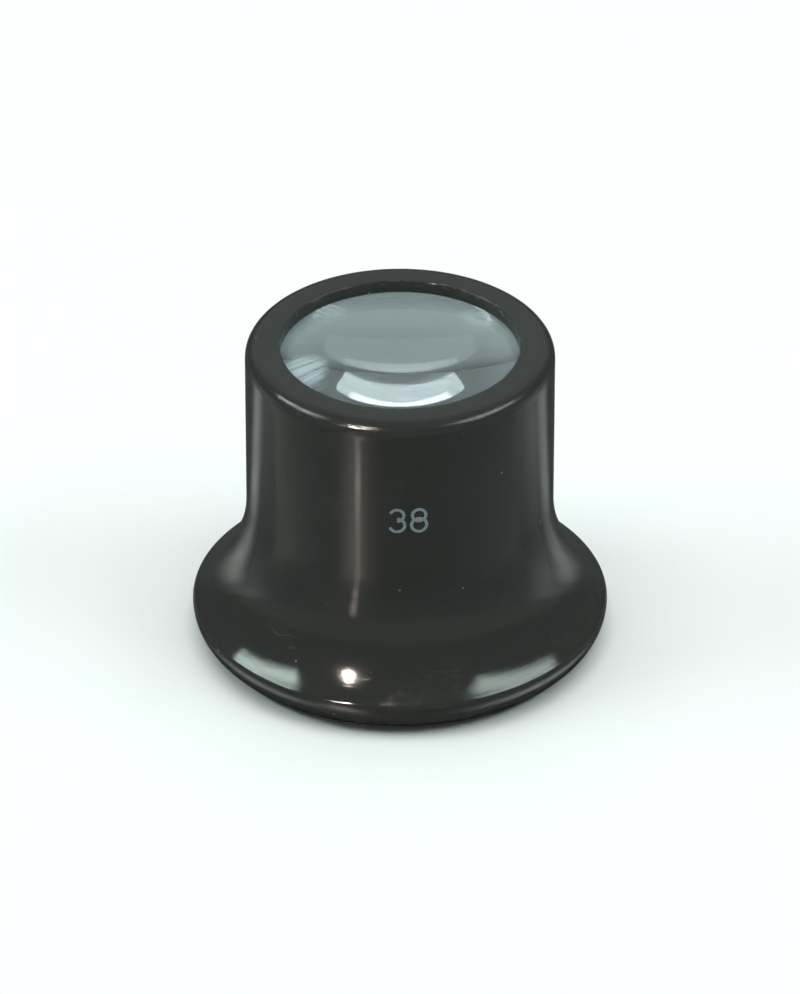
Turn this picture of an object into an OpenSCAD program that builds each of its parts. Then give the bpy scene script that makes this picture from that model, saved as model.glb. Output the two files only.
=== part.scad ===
// Watchmaker's eye loupe: a black moulded housing with a flared eye cup, a biconvex lens that
// drops in from the eye side, and a threaded ring that holds the lens against the top lip.
// Origin: centre of the face that the cup rests on. +Z runs from the eye cup to the lens.

/* [Lens] */
// Radius of the lens; the housing and the ring are built outwards from it
lens_r = 11.1; // [9:0.05:13.5]
// Radius of curvature of both faces
lens_curve_r = 38; // [30:0.5:80]
// Thickness of the lens at its edge
lens_edge_t = 0.6; // [0.4:0.1:2.5]

/* [Retaining ring] */
// Height of the ring
ring_h = 2.2; // [1.6:0.1:3]
// Radial width of the ring
ring_w = 1.1; // [0.9:0.05:1.4]
// Depth of its thread, left as a plain step
thread_depth = 0.3; // [0.2:0.05:0.4]
// Pitch of that thread
thread_pitch = 0.75; // [0.5:0.05:1]
// Turns that take the ring out of its thread
thread_turns = 3; // [2:1:4]
// Width of the two spanner slots
slot_w = 1.2; // [0.8:0.1:2]
// Depth of the two spanner slots
slot_d = 0.8; // [0.4:0.1:1.2]

/* [Housing] */
// Height from the resting face to the top face
height = 28.5; // [23:0.1:36]
// Thickness of the lip over the lens
lip_t = 1.1; // [0.8:0.05:2]
// How far that lip reaches over the edge of the lens
lip_cover = 0.85; // [0.6:0.05:1.5]
// Break on the inner edge of the lip
lip_break = 0.15; // [0.05:0.05:0.3]
// Radius of the rounded top rim
rim_r = 1.3; // [0.5:0.1:1.6]
// Wall of the barrel outside the thread
wall_t = 1.75; // [1.4:0.05:2.5]
// How far the eye cup stands out past the barrel
cup_out = 4.75; // [3.9:0.05:8]
// Radius of the hollow sweep from the barrel out to the cup
sweep_r = 13.1; // [10:0.1:16]
// Radius of the crisp upper edge of the cup
edge_r = 0.55; // [0.3:0.05:1]
// Radius of the roll under the widest part of the cup
roll_r = 2.85; // [2:0.05:3.5]
// Radius of the roll on the inside of the cup's lip
inner_roll_r = 1.2; // [0.6:0.1:1.6]
// Width of the flat ring that the cup rests on
land_w = 0.9; // [0.5:0.1:1.5]

/* [Fits] */
// Gap around the lens
lens_gap = 0.1; // [0.05:0.05:0.3]
// Gap around the ring
ring_gap = 0.05; // [0.05:0.05:0.2]

/* [Hidden] */
$fn = 180;
// A cutter runs this far past the face that it opens
past = 1;
// Lens: both faces are spheres; the top one touches the lower edge of the lip
lip_z = height - lip_t;
opening_r = lens_r - lip_cover;
function sag(r) = lens_curve_r - sqrt(pow(lens_curve_r, 2) - pow(r, 2));
lens_top_z = lip_z + sag(opening_r);
lens_edge_top_z = lens_top_z - sag(lens_r);
lens_edge_low_z = lens_edge_top_z - lens_edge_t;
lens_low_z = lens_edge_low_z - sag(lens_r);
seat_r = lens_r + lens_gap;
// Ring: its inner top edge touches the lower face of the lens
thread_r = seat_r + thread_depth;
ring_r = thread_r - ring_gap;
ring_in_r = ring_r - ring_w;
ring_top_z = lens_low_z + sag(ring_in_r);
ring_travel = thread_pitch * thread_turns;
thread_low_z = ring_top_z - ring_travel;
// Hollow sweep: its centre, the centre of the cup's edge, and the foot of the barrel
barrel_r = thread_r + wall_t;
cup_r = barrel_r + cup_out;
sweep_x = barrel_r + sweep_r;
edge_x = cup_r - edge_r;
foot_z = roll_r + sqrt(pow(sweep_r + edge_r, 2) - pow(sweep_x - edge_x, 2));
// Lip of the cup, from its outer roll to its inner roll
roll_x = cup_r - roll_r;
inner_x = roll_x - land_w;
mouth_r = inner_x - inner_roll_r;

module cup_lip() {
    translate([edge_x, roll_r]) circle(edge_r);
    intersection() {
        translate([roll_x, roll_r]) circle(roll_r);
        square([cup_r, roll_r]);
    }
    square([roll_x, roll_r]);
}

module housing_outline() {
    difference() {
        union() {
            square([barrel_r - rim_r, height]);
            square([barrel_r, height - rim_r]);
            translate([barrel_r - rim_r, height - rim_r]) circle(rim_r);
            // Bounded outside by the line of centres, where the sweep and the edge touch
            polygon([[0, roll_r], [edge_x, roll_r], [sweep_x, foot_z], [0, foot_z]]);
        }
        translate([sweep_x, foot_z]) circle(sweep_r);
    }
    cup_lip();
}

module bore_outline() {
    // Opening above the lens, with its broken edge
    translate([0, thread_low_z]) square([opening_r, height - thread_low_z + past]);
    polygon([[0, height - lip_break], [opening_r, height - lip_break],
             [opening_r + lip_break + past, height + past], [0, height + past]]);
    // Seat of the lens, and the thread under it
    translate([0, thread_low_z]) square([seat_r, lip_z - thread_low_z]);
    translate([0, inner_roll_r]) square([thread_r, lens_edge_low_z - inner_roll_r]);
    // Tapered inside of the barrel and the cup
    polygon([[0, thread_low_z], [thread_r, thread_low_z], [mouth_r, inner_roll_r],
             [mouth_r, -past], [0, -past]]);
}

module housing() {
    color([0.1, 0.1, 0.1]) rotate_extrude() difference() {
        housing_outline();
        bore_outline();
        // Roll on the inside of the lip
        difference() {
            translate([0, -past]) square([inner_x, inner_roll_r + past]);
            translate([inner_x, inner_roll_r]) circle(inner_roll_r);
        }
    }
}

module lens() {
    color([0.8, 0.92, 0.95, 0.5]) intersection() {
        translate([0, 0, lens_top_z - lens_curve_r]) sphere(lens_curve_r);
        translate([0, 0, lens_low_z + lens_curve_r]) sphere(lens_curve_r);
        translate([0, 0, lens_low_z - past]) cylinder(r = lens_r, h = lens_top_z - lens_low_z + 2 * past);
    }
}

module retaining_ring() {
    color([0.2, 0.2, 0.2]) difference() {
        translate([0, 0, ring_top_z - ring_h]) cylinder(r = ring_r, h = ring_h);
        translate([0, 0, ring_top_z - ring_h - past]) cylinder(r = ring_in_r, h = ring_h + 2 * past);
        translate([-ring_r - past, -slot_w / 2, ring_top_z - ring_h - past])
            cube([2 * (ring_r + past), slot_w, slot_d + past]);
    }
}

housing();
lens();
retaining_ring();
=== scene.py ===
import bpy
import numpy as np
from mathutils import Matrix, Vector


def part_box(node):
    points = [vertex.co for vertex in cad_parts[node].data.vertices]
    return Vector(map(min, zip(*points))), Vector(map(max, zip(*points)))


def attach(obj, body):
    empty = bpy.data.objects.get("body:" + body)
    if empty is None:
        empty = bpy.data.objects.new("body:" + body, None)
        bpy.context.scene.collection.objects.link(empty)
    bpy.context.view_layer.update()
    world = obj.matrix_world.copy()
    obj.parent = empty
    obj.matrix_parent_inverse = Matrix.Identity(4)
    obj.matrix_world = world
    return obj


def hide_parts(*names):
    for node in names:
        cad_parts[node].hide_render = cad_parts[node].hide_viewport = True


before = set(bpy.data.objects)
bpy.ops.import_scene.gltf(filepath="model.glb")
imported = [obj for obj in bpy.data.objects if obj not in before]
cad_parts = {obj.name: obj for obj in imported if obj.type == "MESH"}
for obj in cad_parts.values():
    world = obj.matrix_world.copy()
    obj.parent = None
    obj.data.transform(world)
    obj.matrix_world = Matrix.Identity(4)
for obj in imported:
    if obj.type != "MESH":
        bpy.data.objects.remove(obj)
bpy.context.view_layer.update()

mm = 0.001

# ---------------------------------------------------------------------------------------------
# Studio. Pale paper under and around the loupe, and soft boxes above, behind and at the sides, with
# one small key lamp. A dark gloss bench, a low screen round the front that glows with painted light,
# and pools of light on the bench are seen only in reflections, and a disc lamp under the lens lights
# the inside of the cup.


def piece(name, points, faces, crisp=30, lay=None):
    """A mesh object at the origin, smooth all over except at edges sharper than crisp degrees.
    Points that no face uses are dropped. lay is a vector for each point, kept as an attribute."""
    used = np.unique(np.concatenate([np.ravel(face) for face in faces]))
    place = np.zeros(len(points), int)
    place[used] = np.arange(len(used))
    mesh = bpy.data.meshes.new(name)
    mesh.from_pydata(points[used].tolist(), [], [place[face].tolist() for face in faces])
    mesh.polygons.foreach_set("use_smooth", np.ones(len(mesh.polygons), bool))
    mesh.set_sharp_from_angle(angle=np.radians(crisp))
    if lay is not None:
        kept = mesh.attributes.new("lay", "FLOAT_VECTOR", "POINT")
        kept.data.foreach_set("vector", lay[used].astype(np.float32).ravel())
    thing = bpy.data.objects.new(name, mesh)
    bpy.context.scene.collection.objects.link(thing)
    return thing


class Wire:
    """An output socket in a material. + - * on it add Math nodes, and node() adds any other."""

    def __init__(self, tree, socket=None):
        self.tree = tree
        self.socket = socket

    def node(self, kind, settings=None, inputs=None, output=0):
        """A new node: its settings first, then the values or wires of its sockets."""
        made = self.tree.nodes.new(kind)
        for key, value in (settings or {}).items():
            if key == "stops":
                ramp = made.color_ramp.elements
                while len(ramp) < len(value):
                    ramp.new(1)
                for stop, (position, colour) in zip(ramp, value):
                    stop.position = position
                    stop.color = (*colour, 1)
            else:
                setattr(made, key, value)
        for key, value in (inputs or {}).items():
            if isinstance(value, Wire):
                self.tree.links.new(value.socket, made.inputs[key])
            else:
                made.inputs[key].default_value = value
        return Wire(self.tree, made.outputs[output] if len(made.outputs) else None)

    def __add__(self, other):
        return self.node("ShaderNodeMath", {"operation": "ADD"}, {0: self, 1: other})

    def __sub__(self, other):
        return self.node("ShaderNodeMath", {"operation": "SUBTRACT"}, {0: self, 1: other})

    def __rsub__(self, other):
        return self.node("ShaderNodeMath", {"operation": "SUBTRACT"}, {0: other, 1: self})

    def __mul__(self, other):
        return self.node("ShaderNodeMath", {"operation": "MULTIPLY"}, {0: self, 1: other})

    __radd__ = __add__
    __rmul__ = __mul__

    def between(self, low, high):
        """0 below low, 1 above high, and a smooth step from one to the other."""
        return self.node("ShaderNodeMapRange", {"interpolation_type": "SMOOTHSTEP"}, {
            "Value": self, "From Min": low, "From Max": high})

    def stretched(self, scale):
        return self.node("ShaderNodeMapping", None, {"Vector": self, "Scale": scale})

    def part(self, axis):
        """One coordinate of a vector: X, Y or Z."""
        return self.node("ShaderNodeSeparateXYZ", None, {0: self}, output=axis)

    def length(self):
        return self.node("ShaderNodeVectorMath", {"operation": "LENGTH"}, {0: self}, output="Value")


def finish_of(name):
    """A new material with an empty tree, and a wire to start its nodes from."""
    made = bpy.data.materials.new(name)
    made.use_nodes = True
    made.node_tree.nodes.clear()
    return made, Wire(made.node_tree)


def plain(name, colour, roughness, specular=0.5):
    """A material of one colour, for the studio only."""
    made, wire = finish_of(name)
    surface = wire.node("ShaderNodeBsdfPrincipled", None, {
        "Base Color": (*colour, 1), "Roughness": roughness, "Specular IOR Level": specular})
    wire.node("ShaderNodeOutputMaterial", None, {"Surface": surface})
    return made


def seen_by(thing, camera=True, diffuse=True, glossy=True, transmission=True, shadow=True):
    thing.visible_camera = camera
    thing.visible_diffuse = diffuse
    thing.visible_glossy = glossy
    thing.visible_transmission = transmission
    thing.visible_shadow = shadow


def sweep_of_paper(reach=1.6, bend=0.5, top=2.2, patch=0.02, rows=96, steps=12):
    """A disc that curves up into a wall: radius and height follow a flat run, a quarter circle
    and a straight rise, turned about the axis and left open at the top. One round patch fills the
    middle of the floor."""
    turn = np.linspace(0, np.pi / 2, steps + 1)[1:]
    radii = np.concatenate([[patch, reach - bend], reach - bend + bend * np.sin(turn), [reach]])
    heights = np.concatenate([[0, 0], bend - bend * np.cos(turn), [top]])
    angle = np.arange(rows)[:, None] * 2 * np.pi / rows
    grid = np.stack([radii * np.cos(angle), radii * np.sin(angle), heights + 0 * angle], -1)
    columns = len(radii)
    row, column = np.arange(rows)[:, None], np.arange(columns - 1)[None, :]
    after = (row + 1) % rows
    quads = np.stack([row * columns + column, row * columns + column + 1,
                      after * columns + column + 1, after * columns + column], -1)
    middle = [(np.arange(rows) * columns).tolist()]
    return grid.reshape(-1, 3), quads.reshape(-1, 4).tolist() + middle


paper = piece("paper_sweep", *sweep_of_paper())
paper.data.materials.append(plain("white_paper", (0.9, 0.9, 0.9), 0.95, 0.0))
seen_by(paper, glossy=False, transmission=False)


# The bench lies on the paper, and only reflections and the lens can see it.
bench_half, bench_lift = 1.2, 0.1 * mm
bench = piece("gloss_bench", np.array([
    (-bench_half, -bench_half, bench_lift), (bench_half, -bench_half, bench_lift),
    (bench_half, bench_half, bench_lift), (-bench_half, bench_half, bench_lift)]), [[0, 1, 2, 3]])
bench.data.materials.append(plain("gloss_bench", (0.03, 0.032, 0.03), 0.32, 1.0))
seen_by(bench, camera=False, diffuse=False, shadow=False)


def glow(name, colour, strength):
    """A material that gives out an even light of its own, for the studio only."""
    made, wire = finish_of(name)
    light = wire.node("ShaderNodeEmission", None, {"Color": (*colour, 1), "Strength": strength})
    wire.node("ShaderNodeOutputMaterial", None, {"Surface": light})
    return made


def bent_screen(distance=0.9, lift=19.0, spread=115.0, slowed=0.72, columns=49):
    """A low screen round the front: two rows of points on an arc about the loupe, whose upper
    row rises to the lift angle in the middle and falls away towards both ends, as the cosine of
    the angle round the loupe, slowed so that it is still above the bench there."""
    turn = np.radians(np.linspace(-spread, spread, columns))
    rise = distance * np.tan(np.radians(lift)) * np.cos(slowed * turn)
    ring = np.stack([distance * np.sin(turn), -distance * np.cos(turn)], -1)
    points = np.concatenate([np.column_stack([ring, 0 * rise]), np.column_stack([ring, rise])])
    left = np.arange(columns - 1)
    return points, np.stack([left, left + columns, left + columns + 1, left + 1], -1).tolist()


# painted light: the screen is no lamp, but glows with a dim light of its own, seen only in reflections
screen = piece("front_screen", *bent_screen())
screen.data.materials.append(glow("screen_painted_glow", (1.0, 1.0, 0.97), 0.2))
seen_by(screen, camera=False, diffuse=False, shadow=False)

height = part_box("housing")[1].z
middle_of_loupe = Vector((0, 0, height / 2))


def direction(azimuth, elevation):
    """The way from the loupe, in degrees: azimuth from the front round to the right."""
    turn, lift = np.radians(azimuth), np.radians(elevation)
    return Vector((np.sin(turn) * np.cos(lift), -np.cos(turn) * np.cos(lift), np.sin(lift)))


def soft_box(name, first, last, width, radiance, colour, **seen):
    """An area lamp that runs from one end to the other, each an azimuth, an elevation and a
    distance, and faces the loupe. Its power is its radiance times pi times its area."""
    start, end = (direction(*place[:2]) * place[2] for place in (first, last))
    along = end - start
    away = ((start + end) / 2).normalized()
    across = away.cross(along).normalized()
    lamp = bpy.data.lights.new(name, "AREA")
    lamp.shape = "RECTANGLE"
    lamp.size, lamp.size_y = along.length, width
    lamp.energy = radiance * np.pi * lamp.size * lamp.size_y
    lamp.color = colour
    held = bpy.data.objects.new(name, lamp)
    bpy.context.scene.collection.objects.link(held)
    turned_to = Matrix((along.normalized(), across, along.normalized().cross(across))).transposed()
    held.matrix_world = Matrix.Translation(middle_of_loupe + (start + end) / 2) @ turned_to.to_4x4()
    seen_by(held, camera=False, **seen)


silver, cool, warm = (0.82, 1.0, 0.92), (0.8, 0.97, 1.0), (1.0, 0.86, 0.76)
soft_box("left_box", (-105, 31, 0.8), (-67, 43, 0.5), 0.085, 12.0, silver)
soft_box("right_box", (99, 35, 0.8), (50, 47, 0.5), 0.1, 8.0, silver)
soft_box("key_lamp", (-34.5, 40, 0.5), (-31.5, 40, 0.5), 0.026, 1300.0, warm, diffuse=False)
soft_box("top_box", (90, 60, 0.8), (-90, 60, 0.8), 0.8, 2.3, (0.97, 0.99, 1.0),
         glossy=False, transmission=False)
# one light behind for the plastic, and a brighter one for the glass, which reaches lower
soft_box("back_box", (135, 30, 1.3), (-135, 30, 1.3), 0.95, 0.26, cool, transmission=False)
soft_box("glass_box", (137, 22, 1.3), (-137, 22, 1.3), 0.95, 0.84, cool,
         diffuse=False, glossy=False)
soft_box("low_glass_box", (152, 12, 1.1), (-152, 12, 1.1), 0.42, 1.0, cool,
         diffuse=False, glossy=False)

# What the lens lets into the cup: a disc just under it that lights only matt surfaces. Its power
# is its radiance times pi times its area.
disc_r, disc_z, disc_radiance = 8.5 * mm, 22.2 * mm, 16.0
disc = bpy.data.lights.new("under_lens", "AREA")
disc.shape = "DISK"
disc.size = 2 * disc_r
disc.energy = disc_radiance * np.pi * np.pi * disc_r ** 2
disc.color = (0.8, 1.0, 1.0)
under_lens = bpy.data.objects.new("under_lens", disc)
bpy.context.scene.collection.objects.link(under_lens)
under_lens.location.z = disc_z
seen_by(under_lens, camera=False, glossy=False, transmission=False)


def pool_of_light(name, azimuth, spread, reach, colour, falloff, apex=(0, 0), rows=40, columns=17):
    """Light that lies on the bench: a fan of rows out from the apex along the azimuth. Across, its
    strength is cos squared from the middle to both edges; outwards it follows falloff at the
    distances reach."""
    radius = np.geomspace(reach[0], reach[-1], rows)
    across = np.linspace(-1, 1, columns)
    turn = np.radians(azimuth + spread * across)[None, :]
    out = radius[:, None] + 0 * turn
    points = np.stack([apex[0] + out * np.sin(turn), apex[1] - out * np.cos(turn),
                       0 * out + 2 * bench_lift], -1)
    first = np.arange(rows - 1)[:, None] * columns + np.arange(columns - 1)[None, :]
    quads = np.stack([first, first + columns, first + columns + 1, first + 1], -1)
    strength = np.interp(radius, reach, falloff)[:, None] * np.cos(across * np.pi / 2) ** 2
    shine = strength[..., None] * np.array(colour)
    fan = piece(name, points.reshape(-1, 3), quads.reshape(-1, 4).tolist(),
                lay=shine.reshape(-1, 3))
    made, wire = finish_of(name)
    light = wire.node("ShaderNodeEmission", None, {
        "Color": wire.node("ShaderNodeAttribute", {"attribute_name": "lay"}, output="Vector")})
    both = wire.node("ShaderNodeAddShader", None, {
        0: light, 1: wire.node("ShaderNodeBsdfTransparent")})
    wire.node("ShaderNodeOutputMaterial", None, {"Surface": both})
    fan.data.materials.append(made)
    seen_by(fan, camera=False, diffuse=False, transmission=False, shadow=False)


# the key lamp's glitter on the bench, a fan from the line where the barrel mirrors that lamp
key_line = (-3.6 * mm, -12.75 * mm)
pool_of_light("key_glitter", -31.4, 4.0, (0.016, 0.027, 0.035, 0.041, 0.05, 0.7), (1.0, 0.87, 0.8),
              (1.0, 1.1, 3.2, 1.0, 2.4, 0.0), key_line)
# what the side boxes leave on the bench: far out, beside the cup, and close under its edge
pool_of_light("left_pool", -108, 27, (0.025, 0.045, 0.12, 0.9), (0.94, 1.0, 0.96),
              (0.0, 0.2, 0.4, 0.0))
pool_of_light("right_pool", 104, 27, (0.025, 0.045, 0.12, 0.9), (0.94, 1.0, 0.96),
              (0.0, 0.4, 0.42, 0.0))
for side, near, foot in ((-1, 0.64, 0.95), (1, 0.5, 1.3)):
    pool_of_light("near_pool", side * 118, 12, (0.024, 0.033, 0.05, 0.09), (0.94, 1.0, 0.95),
                  (0.0, near, near, 0.0))
    pool_of_light("foot_pool", side * 45, 36, (0.0186, 0.0192, 0.0198, 0.021), (0.93, 1.0, 0.97),
                  (0.0, foot, foot, 0.0))

world = bpy.data.worlds.new("dim_room")
world.use_nodes = True
world.node_tree.nodes["Background"].inputs["Color"].default_value = (0.03, 0.03, 0.03, 1)
bpy.context.scene.world = world
bpy.context.scene.view_settings.view_transform = "Standard"

# The camera looks down at the loupe from the front, at a point a little under half its height.
eye_height, eye_distance = np.radians(32.92), 0.70085
aim = Vector((0, 0, 0.4537 * height))
lens_of_camera = bpy.data.cameras.new("camera")
lens_of_camera.lens = 294.1
lens_of_camera.sensor_width = 36
lens_of_camera.clip_start, lens_of_camera.clip_end = 0.01, 50
camera = bpy.data.objects.new("camera", lens_of_camera)
bpy.context.scene.collection.objects.link(camera)
line_of_sight = Vector((0, -np.cos(eye_height), np.sin(eye_height)))
camera.location = aim + line_of_sight * eye_distance
camera.rotation_euler = (-line_of_sight).to_track_quat("-Z", "Y").to_euler()
bpy.context.scene.camera = camera

# ---------------------------------------------------------------------------------------------
# Housing. One moulding of glossy black plastic: a straight barrel, a hollow sweep out to the eye
# cup, a rolled lip to rest on the skin, and inside the top a seat for the lens over a thread.

cup_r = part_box("housing")[1].x
lens_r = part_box("lens")[1].x
ring_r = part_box("retaining_ring")[1].x
ring_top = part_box("retaining_ring")[1].z
lens_gap, ring_gap = 0.1 * mm, 0.05 * mm
lip_t, lip_cover, lip_break = 1.1 * mm, 0.85 * mm, 0.15 * mm
rim_r, wall_t = 1.3 * mm, 1.75 * mm
sweep_r, edge_r, roll_r = 13.1 * mm, 0.55 * mm, 2.85 * mm
inner_roll_r, land_w = 1.2 * mm, 0.9 * mm
thread_depth, pitch, turns = 0.3 * mm, 0.75 * mm, 3
lens_curve_r, lens_edge_t = 38 * mm, 0.6 * mm

opening_r = lens_r - lip_cover
seat_r = lens_r + lens_gap
thread_r = ring_r + ring_gap
barrel_r = thread_r + wall_t


def turned(radii, heights, angle=None):
    """Points and faces of a turned solid. radii and heights are grids, one row for each station
    round the axis and one column for each point of the profile, which runs anticlockwise: up the
    outside, in over the top and down the inside. Point = (r cos a, r sin a, z), a = the row's
    share of a full turn unless a grid of angles is given. A profile that starts and ends on the
    axis is closed there by fans, and any other profile is joined end to end."""
    rows, columns = radii.shape
    if angle is None:
        angle = np.arange(rows)[:, None] * 2 * np.pi / rows
    points = np.stack([radii * np.cos(angle), radii * np.sin(angle), heights], -1)
    solid = radii[0, 0] < 1e-9
    row = np.arange(rows)[:, None]
    column = np.arange(columns - 1 if solid else columns)[None, :]
    after, beside = (row + 1) % rows, (column + 1) % columns
    quads = np.stack([row * columns + column, after * columns + column,
                      after * columns + beside, row * columns + beside], -1)
    if not solid:
        return points.reshape(-1, 3), quads.reshape(-1, 4).tolist()
    # every row shares the first row's two points on the axis
    quads[quads % columns == 0] = 0
    quads[quads % columns == columns - 1] = columns - 1
    faces = quads[:, 1:-1].reshape(-1, 4).tolist()
    faces += quads[:, 0][:, [0, 2, 3]].tolist() + quads[:, -1][:, [0, 1, 2]].tolist()
    return points.reshape(-1, 3), faces


def sag(r):
    """How far a sphere of the lens's curvature falls away from its top at radius r:
    R - sqrt(R squared - r squared)."""
    return lens_curve_r - np.sqrt(lens_curve_r ** 2 - r ** 2)


seat_z = height - lip_t
lens_top = seat_z + sag(opening_r)
lens_edge_top = lens_top - sag(lens_r)
lens_edge_low = lens_edge_top - lens_edge_t
thread_low = ring_top - pitch * turns


def arc(centre_r, centre_z, radius, start, end, count):
    """Points on a circle from angle start to angle end, in degrees from outwards, up positive."""
    angle = np.radians(np.linspace(start, end, count))
    return np.stack([centre_r + radius * np.cos(angle), centre_z + radius * np.sin(angle)], -1)


def line(start, end, count):
    """Points at even steps from start to end, both included."""
    return np.linspace(start, end, count)


def housing_profile():
    """The moulding's section: lip roll, crisp edge, hollow sweep, barrel, rounded rim, opening,
    seat, thread and tapered inside, as arcs and lines that meet where they touch."""
    sweep_x, edge_x = barrel_r + sweep_r, cup_r - edge_r
    foot_z = roll_r + np.sqrt((sweep_r + edge_r) ** 2 - (sweep_x - edge_x) ** 2)
    tilt = np.degrees(np.arctan2(foot_z - roll_r, sweep_x - edge_x))
    inner_x = cup_r - roll_r - land_w
    return np.concatenate([
        arc(cup_r - roll_r, roll_r, roll_r, -90, 0, 28)[:-1],
        arc(edge_x, roll_r, edge_r, 0, tilt, 12)[:-1],
        arc(sweep_x, foot_z, sweep_r, 180 + tilt, 180, 56)[:-1],
        line((barrel_r, foot_z), (barrel_r, height - rim_r), 10)[:-1],
        arc(barrel_r - rim_r, height - rim_r, rim_r, 0, 90, 24),
        arc(opening_r + lip_break, height - lip_break, lip_break, 90, 180, 8),
        line((opening_r, seat_z + lip_break), (opening_r, seat_z), 3),
        line((seat_r, seat_z), (seat_r, lens_edge_low), 3),
        line((thread_r, lens_edge_low), (thread_r, thread_low), 42),
        arc(inner_x, inner_roll_r, inner_roll_r, 180, 270, 14),
    ])


def ridge(angle, heights, low, high, depth):
    """Height of a right-hand thread above its root: a rounded wave that climbs one pitch for each
    turn, faded out over a third of a pitch at both ends."""
    wave = 0.5 - 0.5 * np.cos(2 * np.pi * heights / pitch - angle)
    run_out = pitch / 3
    fade = np.clip((heights - low) / run_out, 0, 1) * np.clip((high - heights) / run_out, 0, 1)
    return depth * wave * fade


def housing_mesh(profile, rows=300, touch=0.001 * mm):
    """The section turned about the axis, with the thread's ridge taken off the radius of the
    bore between the lens seat and the foot of the thread."""
    radii = np.tile(profile[:, 0], (rows, 1))
    heights = np.tile(profile[:, 1], (rows, 1))
    angle = np.arange(rows)[:, None] * 2 * np.pi / rows
    threaded = np.isclose(radii, thread_r) & (heights > thread_low - touch) & (heights < seat_z)
    cut = ridge(angle, heights, thread_low, lens_edge_low, thread_depth)
    return turned(np.where(threaded, radii - cut, radii), heights)


def polish_lay(points, profile):
    """The lay of the polishing: (cos a, sin a, distance along the profile in millimetres), which
    runs with the surface, so that a pattern stretched along a follows the turning."""
    step = np.linalg.norm(np.diff(profile, axis=0), axis=1)
    along = np.concatenate([[0], np.cumsum(step)]) / mm
    rows = len(points) // len(profile)
    angle = np.repeat(np.arange(rows) * 2 * np.pi / rows, len(profile))
    return np.stack([np.cos(angle), np.sin(angle), np.tile(along, rows)], -1)


def black_plastic(bore_start):
    """Polished black moulding. Fine lines run round it from the polishing wheel, coarsest on the
    rim, and hairline scuffs cross them, both as bump. Smears change the gloss. The worn edge of
    the opening and specks of dust are paler, and the inside, which starts at bore_start along the
    profile, is left greyer and satin."""
    made, wire = finish_of("black_plastic")
    place = wire.node("ShaderNodeTexCoord", output="Object")
    lay = wire.node("ShaderNodeAttribute", {"attribute_name": "lay"}, output="Vector")
    lines = wire.node("ShaderNodeTexNoise", None, {
        "Vector": lay.stretched((2.5, 2.5, 9.0)), "Scale": 1.0, "Detail": 4.0, "Roughness": 0.7})
    ripple = wire.node("ShaderNodeTexNoise", None, {"Vector": place, "Scale": 260.0, "Detail": 1.0})
    smear = wire.node("ShaderNodeTexNoise", None, {
        "Vector": lay.stretched((1.6, 1.6, 0.35)), "Scale": 1.4, "Detail": 5.0})
    # hairlines: the thin borders of large slanting cells, kept only in patches
    cells = wire.node("ShaderNodeTexVoronoi", {"feature": "DISTANCE_TO_EDGE"}, {
        "Vector": lay.stretched((9.0, 9.0, 1.1)), "Scale": 1.3, "Randomness": 1.0})
    patches = wire.node("ShaderNodeTexNoise", None, {"Vector": place, "Scale": 190.0, "Detail": 2.0})
    hairs = (1 - cells.between(0.0, 0.012)) * patches.between(0.52, 0.62)
    # specks: the middles of small cells, few of them
    grains = wire.node("ShaderNodeTexVoronoi", None, {"Vector": place, "Scale": 900.0})
    chance = wire.node("ShaderNodeTexVoronoi", None, {"Vector": place, "Scale": 900.0}, output="Color")
    specks = (1 - grains.between(0.05, 0.12)) * chance.between(0.82, 0.84)
    # where on the moulding: distance from the axis, height, side, and distance round the profile
    flat = place.stretched((1.0, 1.0, 0.0))
    radius, side, up, along = flat.length(), place.part("X"), place.part("Z"), lay.part("Z")
    rim = radius.between(barrel_r - 1.2 * rim_r, barrel_r - 0.9 * rim_r)
    rim = rim * up.between(height - 1.3 * rim_r, height - 0.9 * rim_r)
    inside = along.between(bore_start, bore_start + 0.4)
    coarse = 7.0 * rim + 2.5 * (1 - up.between(3.0 * mm, 6.0 * mm))
    # wear: a finely broken band on the edge round the opening, more of it on the right
    near_edge = 1 - radius.between(opening_r, opening_r + 0.25 * mm)
    near_top = up.between(height - 0.5 * mm, height - 0.1 * mm)
    rubbed = wire.node("ShaderNodeTexNoise", None, {
        "Vector": lay.stretched((9.0, 9.0, 6.0)), "Scale": 1.0, "Detail": 8.0, "Roughness": 0.65})
    wear = near_edge * near_top * rubbed.between(0.53, 0.66)
    wear = wear * (0.35 + 0.65 * side.between(0.0, 8.0 * mm))
    pale = 0.05 * hairs + 0.35 * specks + 0.55 * wear
    bare = wire.node("ShaderNodeMix", {"data_type": "RGBA"}, {
        0: inside, 6: (0.033, 0.0335, 0.031, 1), 7: (0.06, 0.064, 0.064, 1)}, output=2)
    colour = wire.node("ShaderNodeMix", {"data_type": "RGBA"}, {
        0: pale, 6: bare, 7: (0.42, 0.46, 0.45, 1)}, output=2)
    surface = wire.node("ShaderNodeBsdfPrincipled", None, {
        "Base Color": colour, "IOR": 1.5,
        "Roughness": 0.05 + 0.07 * smear + 0.3 * pale + 0.04 * rim + 0.4 * inside,
        "Normal": wire.node("ShaderNodeBump", None, {
            "Strength": 0.5, "Distance": 0.004 * mm,
            "Height": lines + coarse * lines + 0.6 * ripple - 1.5 * hairs - wear})})
    wire.node("ShaderNodeOutputMaterial", None, {"Surface": surface})
    return made


profile = housing_profile()
moulding, moulding_faces = housing_mesh(profile)
lay = polish_lay(moulding, profile)
# the bore starts under the lip, where the profile first reaches the lens seat
first_seat = np.flatnonzero(np.isclose(profile[:, 0], seat_r))[0]
housing = piece("moulded_housing", moulding, moulding_faces, lay=lay)
housing.data.materials.append(black_plastic(lay[first_seat, 2]))
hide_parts("housing")
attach(housing, "housing")

# ---------------------------------------------------------------------------------------------
# Printed figure. The focus of the lens in millimetres, pad-printed on the front of the barrel in
# pale ink: round-ended strokes of one width, each a thin raised film that follows the barrel.


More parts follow.
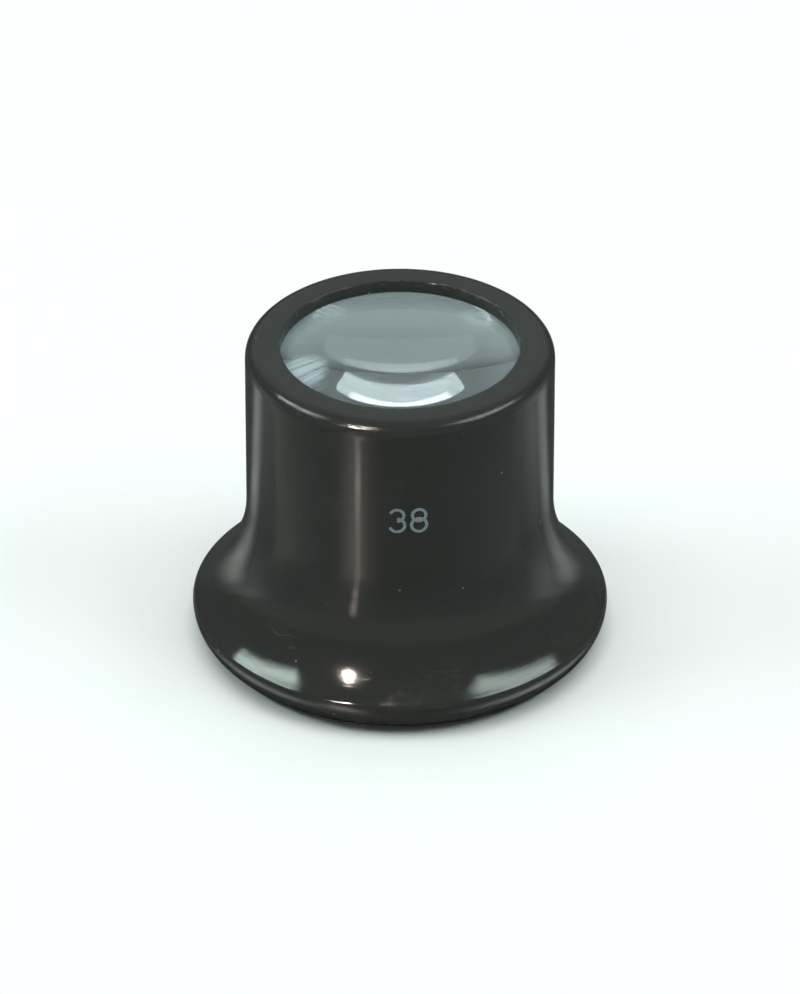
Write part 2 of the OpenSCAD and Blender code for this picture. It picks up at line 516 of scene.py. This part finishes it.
def figure_mesh(figure_height=2.45 * mm, stroke=0.26 * mm, film=0.012 * mm, steps=72):
    """Each stroke is an arc in the flat (x across, y up) whose ribbon is one stroke wide, and its
    half width at a distance d past either end is sqrt(half stroke squared - d squared). The flat
    is then wrapped on the barrel: angle = x / barrel radius, and z = y + the figure's height."""
    three_x, eight_x, middle_z = -0.25 * mm, 1.62 * mm, 19.1 * mm
    half, point = stroke / 2, 1e-7
    low_r, high_r = 0.265 * figure_height, 0.235 * figure_height
    low_y, high_y = low_r - figure_height / 2 + half, figure_height / 2 - high_r - half
    # centre x, centre y, radius, start and end angle of each arc; a full turn has no ends
    arcs = [(three_x, high_y, high_r, 150, -80), (three_x, low_y, low_r, 80, -150),
            (eight_x, high_y, high_r, 0, 360), (eight_x, low_y, low_r, 0, 360)]
    points, faces = [], []
    for centre_x, centre_y, radius, start, end in arcs:
        closed = end - start == 360
        turn = np.sign(end - start)
        over = 0 if closed else np.degrees(half / radius)
        angle = np.radians(np.linspace(start - turn * over, end + turn * over, steps + 1))
        past = np.maximum(np.abs(np.degrees(angle) - (start + end) / 2) - abs(end - start) / 2, 0)
        past = np.clip(np.radians(past) * radius / half, 0, 1)
        width = half * np.sqrt(1 - past ** 2) + point
        ring = np.stack([radius - width, radius + width, radius + width, radius - width], -1)
        depth = np.array([-film, -film, film, film])
        x = centre_x + ring * np.cos(angle)[:, None]
        y = centre_y + ring * np.sin(angle)[:, None]
        around, out = x / barrel_r, barrel_r + depth[None, :] + 0 * x
        grid = np.stack([out * np.sin(around), -out * np.cos(around), middle_z + y], -1)
        grid = grid[:-1] if closed else grid
        rows = len(grid)
        row = np.arange(rows if closed else rows - 1)[:, None]
        corner = np.arange(4)[None, :]
        first = sum(len(part) for part in points)
        after, beside = (row + 1) % rows * 4, (corner + 1) % 4
        quads = np.stack([row * 4 + corner, after + corner, after + beside, row * 4 + beside], -1)
        quads = quads[..., ::-1] if turn < 0 else quads
        faces += (first + quads.reshape(-1, 4)).tolist()
        if not closed:
            caps = [[0, 1, 2, 3], [rows * 4 - 1, rows * 4 - 2, rows * 4 - 3, rows * 4 - 4]]
            faces += (first + np.array(caps)[:, ::int(turn)]).tolist()
        points.append(grid.reshape(-1, 3))
    return np.concatenate(points), faces


def pale_ink():
    """Pad-printing ink: matt, a little thin, so the black under it shows through in specks."""
    made, wire = finish_of("pale_ink")
    place = wire.node("ShaderNodeTexCoord", output="Object")
    thin = wire.node("ShaderNodeTexNoise", None, {"Vector": place, "Scale": 9000.0, "Detail": 3.0})
    colour = wire.node("ShaderNodeValToRGB", {"stops": [
        (0.3, (0.12, 0.15, 0.16)), (0.62, (0.24, 0.31, 0.335))]}, {"Fac": thin})
    surface = wire.node("ShaderNodeBsdfPrincipled", None, {
        "Base Color": colour, "Roughness": 0.45 + 0.2 * thin})
    wire.node("ShaderNodeOutputMaterial", None, {"Surface": surface})
    return made


figure = piece("printed_figure", *figure_mesh())
figure.data.materials.append(pale_ink())
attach(figure, "housing")

# ---------------------------------------------------------------------------------------------
# Lens. Crown glass, equally convex on both sides, polished, with a finely ground edge. It drops
# in from the eye side and its upper face seats on the lip.


def lens_mesh(rows=256, rings=64):
    """Both faces are spheres of the same curvature: height = face's centre height -+ sag(r),
    with r from the axis to the edge, and the edge is a short cylinder."""
    r = lens_r * np.sin(np.linspace(0, np.pi / 2, rings))
    low = lens_edge_low - sag(lens_r) + sag(r)
    top = lens_top - sag(r)
    radii = np.concatenate([r, r[::-1]])
    heights = np.concatenate([low, top[::-1]])
    return turned(np.tile(radii, (rows, 1)), np.tile(heights, (rows, 1)))


def lens_glass():
    """Clear crown glass under a thin bluish film, a small share of matt white. Dust and finger grease
    give it cloudy smears and specks. The rest of the film is painted light: more of it towards the
    back, round the front edge, and in three patches streaked towards the middle, most in the one at
    the left. The ground edge is nearly all matt."""
    made, wire = finish_of("lens_glass")
    place = wire.node("ShaderNodeTexCoord", output="Object")
    cloud = wire.node("ShaderNodeTexNoise", None, {"Vector": place, "Scale": 300.0, "Detail": 6.0})
    grains = wire.node("ShaderNodeTexVoronoi", None, {"Vector": place, "Scale": 1400.0})
    chance = wire.node("ShaderNodeTexVoronoi", None, {"Vector": place, "Scale": 1400.0}, output="Color")
    dust = (1 - grains.between(0.05, 0.12)) * chance.between(0.85, 0.87)
    flat = place.stretched((1.0, 1.0, 0.0))
    radius, back = flat.length(), place.part("Y")
    ground = radius.between(lens_r - 0.03 * mm, lens_r - 0.01 * mm)
    # the cloud and the specks are dust and grease; the share towards the back and the band round the
    # edge on the next line are painted light
    film = 0.03 + 0.03 * cloud + 0.09 * back.between(-3 * mm, 6 * mm) + 0.1 * dust
    film = film + 0.07 * radius.between(6.5 * mm, 10.5 * mm) * back.between(-8 * mm, -3 * mm)
    heading = flat.node("ShaderNodeVectorMath", {"operation": "NORMALIZE"}, {0: flat})
    streaks = wire.node("ShaderNodeTexNoise", None, {
        "Vector": heading, "Scale": 13.0, "Detail": 5.0, "Roughness": 0.6}).between(0.1, 0.7)
    # painted light: patches of more matt white, each streaked towards the middle of the lens: centre,
    # radius in mm, and share
    painted_light_patches = ((-8.3, -3.2, 2.7, 0.42), (-6.0, 6.6, 2.0, 0.12), (6.7, 5.3, 2.1, 0.12))
    for x, y, reach, share in painted_light_patches:
        apart = flat.node("ShaderNodeVectorMath", {"operation": "DISTANCE"}, {
            0: flat, 1: (x * mm, y * mm, 0)}, output="Value")
        film = film + share * streaks * (1 - apart.between(0.5 * reach * mm, reach * mm))
    clear = wire.node("ShaderNodeBsdfPrincipled", None, {
        "Base Color": (1, 1, 1, 1), "Roughness": 0.0, "IOR": 1.52, "Transmission Weight": 1.0})
    matt = wire.node("ShaderNodeBsdfDiffuse", None, {"Color": (0.75, 0.9, 0.95, 1)})
    both = wire.node("ShaderNodeMixShader", None, {0: film + 0.8 * ground, 1: clear, 2: matt})
    wire.node("ShaderNodeOutputMaterial", None, {"Surface": both})
    return made


lens = piece("lens_glass", *lens_mesh())
lens.data.materials.append(lens_glass())
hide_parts("lens")
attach(lens, "lens")

# ---------------------------------------------------------------------------------------------
# Retaining ring. Turned from dull black plastic, threaded outside to run in the housing's
# thread, with two slots in its lower face for a pin spanner.


def ring_mesh(rows=124, slot_rows=7):
    """The section is swept round in four runs: across a slot, along the land to the next one, and
    the same again. A slot's sides are straight, so its half angle at radius r is
    arcsin(half width / r), and in it every point below the slot's ceiling is lifted to it and drawn
    in from the thread's root. The thread stands on its root, half a turn round from the housing's
    ridge, and runs out at both ends."""
    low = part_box("retaining_ring")[0].z
    ring_w, bevel = 1.1 * mm, 0.12 * mm
    slot_w, slot_d, sliver = 1.2 * mm, 0.8 * mm, 2e-4
    outside, inside = ring_r, ring_r - ring_w
    root = outside - thread_depth
    section = np.concatenate([
        [(root - bevel, low)],
        line((outside, low + bevel), (outside, ring_top - bevel), 38),
        line((root - bevel, ring_top), (inside, ring_top), 3),
        line((inside, low + bevel), (inside + bevel, low), 2),
    ])
    ceiling = low + slot_d
    share = (ceiling - section[:, 1]) / slot_d
    drawn = np.where(section[:, 0] > inside + 2 * bevel, root - 0.35 * ring_w * share, section[:, 0])
    lifted = np.column_stack([np.where(share > 0, drawn, section[:, 0]),
                              np.maximum(section[:, 1], ceiling)])
    edge = np.arcsin(slot_w / 2 / section[:, 0])
    slot_edge = np.arcsin(slot_w / 2 / lifted[:, 0]) - sliver
    gap = slot_edge * np.linspace(-1, 1, slot_rows)[:, None]
    land = edge + (np.pi - 2 * edge) * np.linspace(0, 1, rows)[:, None]
    angle = np.concatenate([gap, land, gap + np.pi, land + np.pi])
    grid = np.concatenate([np.tile(lifted, (slot_rows, 1, 1)), np.tile(section, (rows, 1, 1))] * 2)
    radii, heights = grid[..., 0], grid[..., 1]
    threaded = np.isclose(radii, outside)
    thread = ridge(angle - np.pi, heights, low, ring_top, thread_depth)
    return turned(np.where(threaded, root + thread, radii), heights, angle)


def ring_plastic():
    """Dull black plastic with the fine rings that the turning tool leaves, and grey dust."""
    made, wire = finish_of("ring_plastic")
    place = wire.node("ShaderNodeTexCoord", output="Object")
    radius, up = place.stretched((1.0, 1.0, 0.0)).length(), place.part("Z")
    rings = wire.node("ShaderNodeTexNoise", {"noise_dimensions": "1D"}, {
        "W": (radius + up) * 9000.0, "Scale": 1.0, "Detail": 3.0})
    dust = wire.node("ShaderNodeTexNoise", None, {"Vector": place, "Scale": 1200.0, "Detail": 6.0})
    colour = wire.node("ShaderNodeMix", {"data_type": "RGBA"}, {
        0: dust.between(0.5, 0.75), 6: (0.017, 0.017, 0.017, 1), 7: (0.05, 0.052, 0.05, 1)}, output=2)
    surface = wire.node("ShaderNodeBsdfPrincipled", None, {
        "Base Color": colour, "Roughness": 0.34 + 0.25 * dust,
        "Normal": wire.node("ShaderNodeBump", None, {
            "Strength": 0.6, "Distance": 0.01 * mm, "Height": rings})})
    wire.node("ShaderNodeOutputMaterial", None, {"Surface": surface})
    return made


ring = piece("threaded_ring", *ring_mesh())
ring.data.materials.append(ring_plastic())
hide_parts("retaining_ring")
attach(ring, "retaining_ring")
